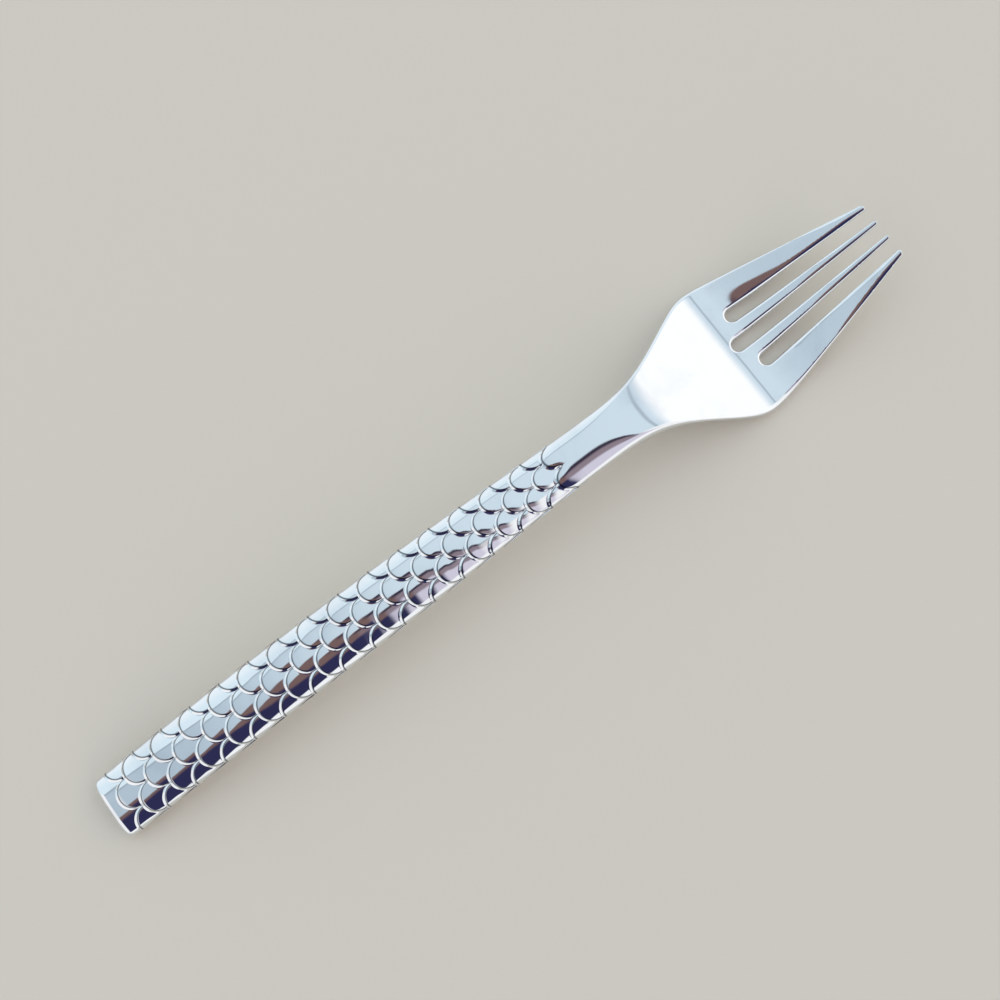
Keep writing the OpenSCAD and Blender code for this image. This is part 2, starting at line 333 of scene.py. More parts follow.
@dataclass(frozen=True)
class ScaleRelief:
    """Overlapping scales that are pressed into the front of the handle."""

    # Rows, and the outline of a scale.
    row_step: float = 3.79
    scale_arc: float = 3.1
    arc_reach: float = 0.985
    scale_radius: float = 3.5
    # Heights, and the slope, crest and rim of a free edge.
    relief: float = 0.399
    bevel: float = 0.45
    crest: float = 0.8
    side_share: float = 0.45
    rim_drop: float = 0.16
    rim_width: float = 3.2
    lobe_height: float = 0.16
    sink_run: float = 40.0
    # Ends of the relief, at the neck, the handle's end and the seam.
    plain_neck: float = 5.0
    first_row: float = -0.8
    end_fade: float = 1.0
    close_rate: float = 0.5
    lobe_share: float = 0.75
    seam_share: float = 0.4
    seam_start: float = 1.7
    # Rows that show under a free edge, and lines of points over a row.
    rows_below: int = 2
    near_lines: tuple[float, ...] = (
        0.0, 0.05, 0.12, 0.2, 0.29, 0.38, 0.46, 0.53, 0.61, 0.7, 0.8, 0.95, 1.15
    )
    near_share: float = 0.55
    far_lines: int = 10

    def last_row(self, joint: float) -> int:
        """Return the number of the row that ends in two lobes on the neck."""
        room = joint - self.plain_neck - self.first_row
        return 2 * math.floor(room / (2 * self.row_step))

    @property
    def arc_axis(self) -> float:
        """Length from a scale's tip to the middle of its rounded edge."""
        return self.scale_arc / (1 - math.sqrt(1 - self.arc_reach**2))

    def tip(self, row: int) -> float:
        """Return the station at which the scales of a row begin."""
        return self.first_row + row * self.row_step

    def off_axis(self, row: int, v: Array) -> Array:
        """Return the distance from the nearest scale's axis, 1 at its sides."""
        t = v + SIDE + row % 2
        return np.abs(t - 2 * np.floor(t / 2) - 1)

    def free_edge(self, row: int, v: Array) -> Array:
        """Return the stations of one row's free edge across the width."""
        across = self.arc_reach * self.off_axis(row, v)
        return self.tip(row) + self.arc_axis * (1 - np.sqrt(1 - across**2))

    def inside(self, row: int, s: Array, v: Array, joint: float) -> Array:
        """Return how far points lie inside the free edge of the nearest scale of a row.

        Args:
            row: Number of the row.
            s: Stations.
            v: Places across the width.
            joint: Station of the joint with the head.

        Returns:
            Distances in millimetres, less than 0 outside.
        """
        along = np.minimum(0, (s - self.tip(row)) / self.arc_axis - 1)
        across = self.arc_reach * self.off_axis(row, v)
        inside = self.scale_radius * (1 - np.hypot(across, along))
        if row == self.last_row(joint):
            closed = np.maximum(0, s - self.tip(row) - self.scale_arc)
            inside = inside + self.close_rate * closed
        return inside

    def gap(self, row: int, s: Array, v: Array, joint: float) -> Array:
        """Return the distance inside the free edge, longer where the edge is narrower.

        Args:
            row: Number of the row.
            s: Stations.
            v: Places across the width.
            joint: Station of the joint with the head.

        Returns:
            Distances as if the edge were as wide as at a scale's tip.
        """
        share = self.lobe_share if row == self.last_row(joint) else 1
        side = 1 - (1 - self.side_share) * self.off_axis(row, v) ** 2
        return self.inside(row, s, v, joint) * share / side

    def cover(self, gap: Array) -> Array:
        """Return the share of a scale's height that is reached inside its free edge.

        Args:
            gap: Distances inside the free edge.

        Returns:
            Shares, from 0 at the edge over a slope and a rounded crest to 1.
        """
        run = self.crest - self.bevel
        turn = np.clip((gap - self.bevel) / run, 0, 1)
        rise = np.clip(gap, 0, self.bevel) + run * (turn - turn**2 / 2)
        return rise / (self.bevel + run / 2)

    def plate(self, row: int, s: Array, v: Array, joint: float) -> Array:
        """Return the height of a row's scales, which fall towards the row over them.

        Args:
            row: Number of the row.
            s: Stations.
            v: Places across the width.
            joint: Station of the joint with the head.

        Returns:
            Heights above the plain handle.
        """
        inside = np.maximum(0, self.inside(row, s, v, joint))
        rim = self.rim_drop * np.maximum(0, 1 - inside / self.rim_width) ** 2
        if row == self.last_row(joint):
            return -rim * (1 - ease(self.tip(row) + self.crest, joint, s))
        slope = self.relief / self.row_step
        middle = (self.row_step + self.scale_arc) / 2
        level = slope * (middle - (s - self.tip(row)))
        level = level - self.lobe_height * ease(joint - self.sink_run, joint, s)
        return level - rim if row > 0 else level

    def surface(self, row: int, s: Array, v: Array, joint: float) -> Array:
        """Return the height of the relief where a row shows.

        Args:
            row: Number of the row that shows.
            s: Stations.
            v: Places across the width.
            joint: Station of the joint with the head.

        Returns:
            Heights above the plain handle, fading at the handle's end and the seam.
        """
        first = max(0, row - self.rows_below)
        height = self.plate(first, s, v, joint)
        for upper in range(first + 1, row + 1):
            share = self.cover(self.gap(upper, s, v, joint))
            height = height + (self.plate(upper, s, v, joint) - height) * share
        seam = 1 - (1 - self.seam_share) * ease(self.seam_start, SIDE, np.abs(v))
        return height * seam * ease(0, self.end_fade, s)

    def row_lines(self, row: int, v: Array, joint: float) -> list[Array]:
        """Return the stations of the lines of points over one row.

        Args:
            row: Number of the row.
            v: Columns across the width.
            joint: Station of the joint with the head.

        Returns:
            One line of stations after the other, close together at the free edge.
        """
        foot = self.free_edge(row, v)
        after = np.full_like(v, joint)
        if row < self.last_row(joint):
            after = self.free_edge(row + 1, v)
        reach = self.near_lines[-1]
        near = np.minimum(1, self.near_share * (after - foot) / reach)
        lines = [foot + way * near for way in self.near_lines]
        shares = np.arange(1, self.far_lines) / self.far_lines
        return lines + [lines[-1] + (after - lines[-1]) * share for share in shares]


class Wiring:
    """Short ways to place and join the nodes of one node tree."""

    def __init__(self, tree: bpy.types.NodeTree) -> None:
        """Start wiring in a tree."""
        self.tree = tree

    def node(self, kind: str, **settings: object) -> bpy.types.Node:
        """Add a node.

        Args:
            kind: Blender's type name of the node.
            **settings: Properties to set on it.

        Returns:
            The new node.
        """
        made = self.tree.nodes.new(kind)
        for name, value in settings.items():
            setattr(made, name, value)
        return made

    def feed(self, socket: bpy.types.NodeSocket, value: object) -> None:
        """Link a socket to an input, or set the input to a plain value.

        Args:
            socket: Input to feed.
            value: Socket to link it to, or plain value to set.
        """
        if isinstance(value, bpy.types.NodeSocket):
            self.tree.links.new(value, socket)
        else:
            socket.default_value = value

    def math(self, operation: str, a: object, b: object = 0.0) -> bpy.types.NodeSocket:
        """Add a sum, product or other operation on two values.

        Args:
            operation: Blender's name of the operation.
            a: First value or socket.
            b: Second value or socket.

        Returns:
            The socket that holds the result.
        """
        made = self.node("ShaderNodeMath", operation=operation)
        self.feed(made.inputs[0], a)
        self.feed(made.inputs[1], b)
        return made.outputs[0]

    def spread(
        self, value: object, low: float, high: float, to: Span = (0, 1)
    ) -> bpy.types.NodeSocket:
        """Map a range of values smoothly to another.

        Args:
            value: Value or socket to map.
            low: Value at which the result starts to change.
            high: Value at which the change ends.
            to: Results at low and high.

        Returns:
            The socket that holds the result.
        """
        made = self.node("ShaderNodeMapRange", interpolation_type="SMOOTHSTEP")
        self.feed(made.inputs["Value"], value)
        for name, number in zip(
            ("From Min", "From Max", "To Min", "To Max"), (low, high, *to)
        ):
            made.inputs[name].default_value = number
        return made.outputs[0]

    def mix(self, share: object, first: object, second: object) -> bpy.types.NodeSocket:
        """Mix two colours.

        Args:
            share: Share of the second colour, as a value or socket.
            first: First colour or socket.
            second: Second colour or socket.

        Returns:
            The socket that holds the mixed colour.
        """
        made = self.node("ShaderNodeMix", data_type="RGBA")
        self.feed(made.inputs[0], share)
        for socket, colour in ((made.inputs[6], first), (made.inputs[7], second)):
            self.feed(socket, (*colour, 1) if isinstance(colour, tuple) else colour)
        return made.outputs[2]

    def both(self, a: object, b: object) -> bpy.types.NodeSocket:
        """Return where two masks are both set."""
        return self.math("MULTIPLY", a, b)

    def either(self, a: object, b: object) -> bpy.types.NodeSocket:
        """Return where at least one of two masks is set."""
        return self.math("MAXIMUM", a, b)

    def noise(
        self, place: object, scale: object, detail: float, twist: float = 0.0
    ) -> bpy.types.NodeSocket:
        """Add a cloudy pattern.

        Args:
            place: Coordinates to read the pattern at.
            scale: Fineness of the pattern, as a value or socket.
            detail: Steps of finer pattern in it.
            twist: How far the pattern is pulled out of shape.

        Returns:
            The socket that holds the pattern.
        """
        made = self.node("ShaderNodeTexNoise")
        self.feed(made.inputs["Vector"], place)
        self.feed(made.inputs["Scale"], scale)
        self.feed(made.inputs["Detail"], detail)
        self.feed(made.inputs["Distortion"], twist)
        return made.outputs[0]

    def bump(
        self, height: object, strength: float, distance: float, normal: object = None
    ) -> bpy.types.NodeSocket:
        """Add small heights to a surface.

        Args:
            height: Socket with the heights.
            strength: Share of the heights that shows.
            distance: Full height in metres.
            normal: Socket with the heights below these, if any.

        Returns:
            The socket that holds the normals.
        """
        made = self.node("ShaderNodeBump")
        self.feed(made.inputs["Strength"], strength)
        self.feed(made.inputs["Distance"], distance)
        self.feed(made.inputs["Height"], height)
        if normal is not None:
            self.feed(made.inputs["Normal"], normal)
        return made.outputs[0]

    def effect(self, effect: Effect, **inputs: float) -> bpy.types.Node:
        """Place one of the shared node groups.

        Args:
            effect: Effect to place.
            **inputs: Values of the group's inputs.

        Returns:
            The group's node.
        """
        tree = bpy.data.node_groups[effect.value]
        made = self.node("ShaderNodeGroup", node_tree=tree)
        for name, number in inputs.items():
            self.feed(made.inputs[name], number)
        return made


def new_group(
    effect: Effect, inputs: tuple[str, ...], outputs: tuple[str, ...]
) -> tuple[Wiring, bpy.types.Node, bpy.types.Node]:
    """Start a shader node group of single values.

    Args:
        effect: Effect that the group makes.
        inputs: Names of the inputs, which each material sets.
        outputs: Names of the outputs.

    Returns:
        The group's wiring, its input node and its output node.
    """
    tree = bpy.data.node_groups.new(effect.value, "ShaderNodeTree")
    for way, names in (("INPUT", inputs), ("OUTPUT", outputs)):
        for name in names:
            tree.interface.new_socket(name, in_out=way, socket_type="NodeSocketFloat")
    w = Wiring(tree)
    return w, w.node("NodeGroupInput"), w.node("NodeGroupOutput")


def polishing_marks(streaks: Span = (0.52, 0.72)) -> None:
    """Build the group of fine marks that a polishing wheel leaves along the steel.

    Args:
        streaks: Values of the pattern between which a streak comes in.
    """
    w, inputs, outputs = new_group(
        Effect.MARKS, ("Along", "Across"), ("Streak", "Height")
    )
    scales = w.node("ShaderNodeCombineXYZ")
    for axis, name in enumerate(("Along", "Across", "Across")):
        w.feed(scales.inputs[axis], inputs.outputs[name])
    stretched = w.node("ShaderNodeVectorMath", operation="MULTIPLY")
    w.feed(stretched.inputs[0], w.node("ShaderNodeTexCoord").outputs["Object"])
    w.feed(stretched.inputs[1], scales.outputs[0])
    marks = w.noise(stretched.outputs[0], scale=1.0, detail=3.0)
    w.feed(outputs.inputs["Height"], marks)
    w.feed(outputs.inputs["Streak"], w.spread(marks, *streaks))


def handling_haze(patches: Span = (0.45, 0.75), swell_finer: float = 2.0) -> None:
    """Build the group of faint cloudy patches that handling leaves on polished steel.

    Args:
        patches: Values of the pattern between which a patch comes in.
        swell_finer: How much finer the swell is than the patches.
    """
    w, inputs, outputs = new_group(Effect.HAZE, ("Scale",), ("Haze", "Swell"))
    place = w.node("ShaderNodeTexCoord").outputs["Object"]
    scale = inputs.outputs["Scale"]
    cloud = w.noise(place, scale, detail=4.0, twist=0.6)
    w.feed(outputs.inputs["Haze"], w.spread(cloud, *patches))
    swell = w.noise(place, w.math("MULTIPLY", scale, swell_finer), detail=1.0)
    w.feed(outputs.inputs["Swell"], swell)


@dataclass(frozen=True)
class PolishedSteel:
    """Mirror-polished stainless steel with faint marks and haze, and where asked a
    painted dark reflection line inside the scales' free edges.
    """

    name: str
    bright: Colour = (0.86, 0.88, 0.90)
    hazy: Colour = (0.78, 0.80, 0.83)
    # Painted dark reflection: a dark line in the colour a little inside the free edges
    # of the scales, on their rounded crests.
    line: Colour = (0.12, 0.14, 0.165)
    line_place: float = 0.62
    line_width: float = 0.28
    paints_reflection_line: bool = False
    # Roughness where the steel is clean, hazy, streaked or under the painted reflection
    # line.
    clean_rough: float = 0.035
    hazy_rough: float = 0.085
    streak_rough: float = 0.03
    line_rough: float = 0.1
    # Fineness and depth of the marks, the haze and the swell.
    marks_along: float = 60.0
    marks_across: float = 5000.0
    haze_scale: float = 90.0
    mark_share: float = 0.04
    mark_depth: float = 0.00002
    swell_share: float = 0.15
    swell_depth: float = 0.0001

    def build(self) -> bpy.types.Material:
        """Make the material.

        Returns:
            A material whose colour, roughness and normal vary over the steel.
        """
        material = bpy.data.materials.new(self.name)
        material.use_nodes = True
        w = Wiring(material.node_tree)
        shader = material.node_tree.nodes["Principled BSDF"]
        shader.inputs["Metallic"].default_value = 1.0
        marks = w.effect(
            Effect.MARKS, Along=self.marks_along, Across=self.marks_across
        )
        haze = w.effect(Effect.HAZE, Scale=self.haze_scale)
        patches = haze.outputs["Haze"]
        colour = w.mix(patches, self.bright, self.hazy)
        rough = w.spread(patches, 0, 1, (self.clean_rough, self.hazy_rough))
        streaks = w.math("MULTIPLY", marks.outputs["Streak"], self.streak_rough)
        rough = w.math("ADD", rough, streaks)
        # Painted dark reflection line along the crest inside each scale's free edge:
        # darker colour and more roughness there.
        if self.paints_reflection_line:
            gap = w.node("ShaderNodeAttribute", attribute_name=EDGE_GAP).outputs["Fac"]
            outside, inside = (
                w.spread(gap, self.line_place + side * self.line_width, self.line_place)
                for side in (-1, 1)
            )
            mask = w.both(outside, inside)
            colour = w.mix(mask, colour, self.line)
            rough = w.math("ADD", rough, w.math("MULTIPLY", mask, self.line_rough))
        w.feed(shader.inputs["Base Color"], colour)
        w.feed(shader.inputs["Roughness"], rough)
        fine = w.bump(marks.outputs["Height"], self.mark_share, self.mark_depth)
        swell = w.bump(haze.outputs["Swell"], self.swell_share, self.swell_depth, fine)
        w.feed(shader.inputs["Normal"], swell)
        return material


@dataclass(frozen=True)
class SetCement:
    """Grey cement with sand in it, which has set hard inside the handle."""

    name: str = "set_cement"
    paste: Colour = (0.55, 0.52, 0.47)
    sand: Colour = (0.42, 0.38, 0.33)
    rough: float = 0.9
    grain_scale: float = 1500.0
    grain_range: Span = (0.4, 0.65)
    grain_share: float = 0.4
    grain_depth: float = 0.0002

    def build(self) -> bpy.types.Material:
        """Make the material.

        Returns:
            A dull material with grains that show in its colour and its surface.
        """
        material = bpy.data.materials.new(self.name)
        material.use_nodes = True
        w = Wiring(material.node_tree)
        shader = material.node_tree.nodes["Principled BSDF"]
        shader.inputs["Roughness"].default_value = self.rough
        place = w.node("ShaderNodeTexCoord").outputs["Object"]
        grain = w.noise(place, self.grain_scale, detail=4.0)
        share = w.spread(grain, *self.grain_range)
        w.feed(shader.inputs["Base Color"], w.mix(share, self.paste, self.sand))
        bump = w.bump(grain, self.grain_share, self.grain_depth)
        w.feed(shader.inputs["Normal"], bump)
        return material


def add_piece(
    name: str, points: Array, faces: list[Polygon], smooth: Array
) -> bpy.types.Object:
    """Make an object from points in millimetres.

    Args:
        name: Name of the piece.
        points: Corners, in the row frame.
        faces: Corner numbers of each face.
        smooth: Whether each face is shaded smooth.

    Returns:
        The new object, in metres.
    """
    mesh = bpy.data.meshes.new(name)
    mesh.from_pydata((points * MM).tolist(), [], faces)
    mesh.polygons.foreach_set("use_smooth", smooth)
    mesh.validate()
    rims = {key for p in mesh.polygons if not p.use_smooth for key in p.edge_keys}
    for edge in mesh.edges:
        edge.use_edge_sharp = edge.key in rims
    piece = bpy.data.objects.new(name, mesh)
    bpy.context.scene.collection.objects.link(piece)
    return piece


def strip_faces(first: int, lines: int, columns: int) -> list[Polygon]:
    """Return the quads of a grid of points.

    Args:
        first: Number of the grid's first point.
        lines: Lines of points.
        columns: Points in each line.

    Returns:
        Corner numbers of each quad, counter-clockwise where columns run to the left.
    """
    starts = [
        first + i * columns + j for i in range(lines - 1) for j in range(columns - 1)
    ]
    return [[a, a + columns, a + columns + 1, a + 1] for a in starts]


@dataclass
class SteelPiece:
    """Polished piece that stands for a CAD node."""

    form: ForkForm
    finish: PolishedSteel
    node: str
    slot: str
    name: str

    def dress(self, piece: bpy.types.Object) -> None:
        """Give the piece its finish and its place on the CAD frame.

        Args:
            piece: Object that the piece's mesh was built as.
        """
        piece.data.materials.append(self.finish.build())
        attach(piece, BODY)
        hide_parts(self.node)


@dataclass
class PressedShell(SteelPiece):
    """Half of the hollow handle: an outer skin, a plain inner skin and closed rims."""

    face: Face = Face.FRONT
    wall: float = 0.7
    rim_steps: int = 9
    line_count: int = 161
    column_count: int = 49
    stride: int = 8
    inside_stride: int = 24

    def end_stations(self) -> Array:
        """Return the stations that round the rim at the handle's end."""
        turn = np.linspace(0, math.pi / 2, self.rim_steps)
        return self.form.end_round * (1 - np.cos(turn))

    def columns(self) -> Array:
        """Return the places of the points across the width."""
        turn = np.linspace(-math.pi / 2, math.pi / 2, self.column_count)
        return SIDE * np.sin(turn)

    def lines(self) -> tuple[Array, Array]:
        """Return the stations and the relief of the outside, line by line.

        Returns:
            Stations and heights of the relief, with one line of points after the other.
        """
        v = self.columns()
        form = self.form
        along = np.linspace(form.end_round, form.handle_length, self.line_count)
        s = np.concatenate([self.end_stations(), along[1:]])[:, None]
        stations = np.broadcast_to(s, (len(s), len(v)))
        return stations, np.zeros_like(stations)

    def faces(self, inside: list[int], lines: int, columns: int) -> list[Polygon]:
        """Return the faces of the closed shell, the smooth skins first.

        Args:
            inside: Lines of the outside that the inside has a line of points at.
            lines: Lines of the outside.
            columns: Points in each line of the outside.

        Returns:
            Corner numbers, turned outwards for the front shell.
        """
        n, m = columns, (columns - 1) // self.stride + 1
        base, bays = lines * n, len(inside) - 1
        last_out, last_in = (lines - 1) * n, base + bays * m
        walls = inside[0]
        made = strip_faces(0, lines, n)
        made += [f[::-1] for f in strip_faces(base, bays + 1, m)]
        made.append(list(range(n)))
        for i in range(walls - 1):
            made.append([i * n, (i + 1) * n - 1, (i + 2) * n - 1, (i + 1) * n])
        made.append(
            [(walls - 1) * n, walls * n - 1, (walls + 1) * n - 1, base + m - 1]
            + [base, walls * n]
        )
        made.append([base + j for j in range(m)][::-1])
        for b in range(bays):
            span = range(inside[b], inside[b + 1] + 1)
            near, far = base + b * m, base + (b + 1) * m
            made.append([near, far] + [i * n for i in reversed(span)])
            made.append([far + m - 1, near + m - 1] + [(i + 1) * n - 1 for i in span])
        for j in range(m - 1):
            part = range(self.stride * j, self.stride * (j + 1) + 1)
            made.append(
                [last_in + j, last_in + j + 1] + [last_out + k for k in reversed(part)]
            )
        return made

    def build(self) -> bpy.types.Object:
        """Build the shell's mesh.

        Returns:
            The shell as one closed object.
        """
        v = self.columns()
        stations, rises = self.lines()
        lines, columns = stations.shape
        first = self.rim_steps - 1
        inside = [*range(first, lines - 1, self.inside_stride), lines - 1]
        inner_s = stations[inside, :1]
        inner_v = v[:: self.stride]
        outer = self.form.skin(stations, v[None, :], rises, self.face)
        inner = self.form.skin(
            inner_s, inner_v[None, :], np.full(inner_s.shape, -self.wall), self.face
        )
        faces = self.faces(inside, lines, columns)
        skins = (lines - 1) * (columns - 1) + (len(inside) - 1) * (len(inner_v) - 1)
        if self.face is Face.BACK:
            faces = [f[::-1] for f in faces]
        points = np.concatenate([outer.reshape(-1, 3), inner.reshape(-1, 3)])
        return add_piece(self.name, points, faces, np.arange(len(faces)) < skins)


@dataclass
class ScaleShell(PressedShell):
    """Front shell, pressed with overlapping scales."""

    scales: ScaleRelief = field(default_factory=ScaleRelief)
    column_steps: int = 32
    end_shares: tuple[float, ...] = (0.15, 0.35, 0.6, 0.8, 0.92)

    def columns(self) -> Array:
        """Return the places across the width, closest on the axes of the scales.

        Returns:
            Places from one edge to the other.
        """
        turn = np.linspace(0, math.pi, self.column_steps + 1)[:-1]
        share = (1 - np.cos(turn)) / 2
        return np.concatenate([*(p + share for p in range(-SIDE, SIDE)), [SIDE]])

    def rows(self) -> list[tuple[int, Array]]:
        """Return each line of points as the row that it lies on and its stations.

        Returns:
            Lines from the handle's end to the joint.
        """
        v, joint = self.columns(), self.form.handle_length
        first = self.scales.free_edge(1, v)
        lines = [(0, np.full_like(v, s)) for s in self.end_stations()]
        start = self.form.end_round
        for share in self.end_shares:
            lines.append((0, start + (first - start) * share))
        for row in range(1, self.scales.last_row(joint) + 1):
            lines += [(row, line) for line in self.scales.row_lines(row, v, joint)]
        return lines + [(self.scales.last_row(joint), np.full_like(v, joint))]

    def lines(self) -> tuple[Array, Array]:
        """Return the stations and the relief over the end and all scales.

        Returns:
            Stations and heights of the relief, with one line of points after the other.
        """
        v, joint, rows = self.columns(), self.form.handle_length, self.rows()
        rises = [self.scales.surface(row, line, v, joint) for row, line in rows]
        return np.array([line for _, line in rows]), np.array(rises)

    def build(self) -> bpy.types.Object:
        """Build the shell and note on it how far each place is from a scale's edge.

        Returns:
            The shell as one closed object.
        """
        piece = super().build()
        v, joint, rows = self.columns(), self.form.handle_length, self.rows()
        gaps = []
        for (row, line), (_, after) in zip(rows[:-1], rows[1:]):
            near, far = (self.scales.gap(row, s, v, joint) for s in (line, after))
            if row == 0:
                near = far = np.full_like(v, self.scales.scale_radius)
            gaps.append(np.stack([near[:-1], far[:-1], far[1:], near[1:]], axis=1))
        outside = np.concatenate(gaps).ravel()
        values = np.full(len(piece.data.loops), self.scales.scale_radius)
        values[: len(outside)] = outside
        # Distance from the free edge, by which the scale polish places its painted dark
        # reflection line.
        noted = piece.data.attributes.new(EDGE_GAP, "FLOAT", "CORNER")
        noted.data.foreach_set("value", values.astype(np.float32))
        return piece


@dataclass
class ForgedHead(SteelPiece):
    """Neck, bowl and tines in one forging, with the tang inside the handle."""

    # Slots between the tines.
    slot_width: float = 2.8
    slot_pitch: float = 5.95
    slot_length: float = 35.2
    slot_step: float = 2.9
    # Tang inside the handle.
    tang_length: float = 45.0
    tang_width: float = 5.0
    tang_thick: float = 1.6
    tang_taper: float = 0.7
    # Widths of the rounded edges, and the power of their rounding.
    neck_edge: float = 2.0
    bowl_edge: float = 1.1
    tine_edge: float = 0.7
    slot_edge: float = 0.75
    round_edge: float = 0.28
    edge_roll: float = 2.0
    # Slight crowns of the tines, beside the slots and at the tips.
    root_crown: float = 0.18
    root_half: float = 3.4
    tip_crown: float = 0.4
    tip_reach: float = 1.2
    # Run from the neck's section to the bowl's, measured from the joint.
    plate_run: Span = (0.5, 24.0)
    # Runs of the edges and crowns, measured from the shoulders.
    tine_run: Span = (0.0, 15.0)
    round_run: Span = (8.0, 36.0)
    root_rise: Span = (6.0, 14.0)
    root_fall: Span = (22.0, 40.0)
    tip_rise: Span = (12.0, 38.0)
    # Spacing of the mesh, and how far its points keep from the edges.
    edge_step: float = 0.45
    inner_step: float = 0.5
    ring_count: int = 9
    corner_steps: int = 9
    root_steps: int = 15
    tang_steps: int = 9
    joint_steps: int = 11
    lead_length: float = 20.0
    ring_room: float = 0.97
    ring_start: float = 0.1
    net_room: float = 1.04
    net_start: float = 0.35
    net_slot_gap: float = 0.3
    slope_step: float = 0.002
    batch: int = 2000

    def past_shoulder(self, span: Span, s: Array) -> Array:
        """Rise smoothly from 0 to 1 over a span that is measured from the shoulders."""
        return ease(self.form.shoulder + span[0], self.form.shoulder + span[1], s)

    def past_joint(self, span: Span, s: Array) -> Array:
        """Rise smoothly from 0 to 1 over a span that is measured from the joint."""
        joint = self.form.handle_length
        return ease(joint + span[0], joint + span[1], s)

    @property
    def slot_places(self) -> Array:
        """Places of the slots, of which 0 is the middle one."""
        count = self.form.tine_count
        return np.arange(1, count) - count / 2

    @property
    def slot_tip_half(self) -> float:
        """Half of a slot's width between the tips."""
        return (self.form.tip_pitch - self.form.tip_width) / 2

    def side_edge(self) -> Array:
        """Return points along one outer side, from the joint to the tip's corner.

        Returns:
            Stations and places across the width.
        """
        form = self.form
        count = round((form.head_length - form.tip_round) / self.edge_step)
        along = np.linspace(form.handle_length, form.length - form.tip_round, count)
        turn = np.linspace(0, math.pi / 2, self.corner_steps)[1:]
        s = np.concatenate([along, form.length - form.tip_round * (1 - np.sin(turn))])
        return np.stack([s, form.half_width(s)], axis=1)

    def slot_edge_points(self, index: float) -> Array:
        """Return points round one slot, from the tip below it to the tip above it.

        Args:
            index: Place of the slot: 0 is the middle one.

        Returns:
            Stations and places across the width.
        """
        form, radius = self.form, self.slot_width / 2
        root, tip_half = self.slot_root(index), self.slot_tip_half
        turn = np.linspace(0, math.pi / 2, self.root_steps)
        bend = np.linspace(0, math.pi / 2, self.corner_steps)
        end = form.length - form.tip_round
        count = round((end - root) / self.edge_step)
        share = np.linspace(0, 1, count)[1:-1]
        s = np.concatenate(
            [
                root - radius * np.cos(turn),
                root + (end - root) * share,
                form.length - form.tip_round * (1 - np.sin(bend)),
            ]
        )
        half = np.concatenate(
            [
                radius * np.sin(turn),
                radius + (tip_half - radius) * share,
                tip_half + form.tip_round * (1 - np.cos(bend)),
            ]
        )
        middle = self.slot_middle(index, s)
        upper = np.stack([s, middle + half], axis=1)
        lower = np.stack([s, middle - half], axis=1)[:0:-1]
        return np.concatenate([lower, upper])

    def slot_root(self, index: float) -> float:
        """Return the station at which a slot's round bottom ends."""
        step = self.slot_step * max(0, 1 - abs(index))
        return self.form.length - self.slot_length - step + self.slot_width / 2

    def slot_middle(self, index: float, s: Array) -> Array:
        """Return the middle line of a slot at stations.

        Args:
            index: Place of the slot: 0 is the middle one.
            s: Stations.

        Returns:
            Places across the width.
        """
        root = self.slot_root(index)
        share = np.clip((s - root) / (self.form.length - root), 0, None)
        pitch = self.slot_pitch + (self.form.tip_pitch - self.slot_pitch) * share
        return index * pitch

    def tine_half(self, s: Array, y: Array) -> Array:
        """Return half of the width of the tine that holds each point.

        Args:
            s: Stations.
            y: Places across the width.

        Returns:
            Half widths, without limit before the slots begin.
        """
        form = self.form
        reach = form.length - form.tip_round
        flat = np.minimum(s, reach)
        radius, tine = self.slot_width / 2, np.zeros(len(s), int)
        edges = [-form.half_width(flat)]
        for index in self.slot_places:
            root = self.slot_root(index)
            share = np.clip((flat - root) / (reach - root), 0, 1)
            half = radius + (self.slot_tip_half - radius) * share
            middle = self.slot_middle(index, flat)
            edges += [middle - half, middle + half]
            tine += y > middle
        edges.append(form.half_width(flat))
        stacked = np.stack(edges)
        picked = np.arange(len(s))
        half = (stacked[2 * tine + 1, picked] - stacked[2 * tine, picked]) / 2
        return np.where(s > form.shoulder + radius, half, np.inf)

    def edge_widths(self, s: Array, y: Array, slot_side: Array) -> Array:
        """Return the width of the rounding at the edge nearest each point.

        Args:
            s: Stations.
            y: Places across the width.
            slot_side: Whether the nearest edge is a slot's.

        Returns:
            Widths of the rounding.
        """
        bowl = self.past_joint(self.plate_run, s)
        tines = self.past_shoulder(self.tine_run, s)
        rounder = self.past_shoulder(self.round_run, s)
        outer = self.neck_edge + (self.bowl_edge - self.neck_edge) * bowl
        outer = outer + (self.tine_edge - self.bowl_edge) * tines
        outer = outer + (self.round_edge - self.tine_edge) * rounder
        inner = self.slot_edge + (self.round_edge - self.slot_edge) * rounder
        return np.minimum(np.where(slot_side, inner, outer), self.tine_half(s, y))

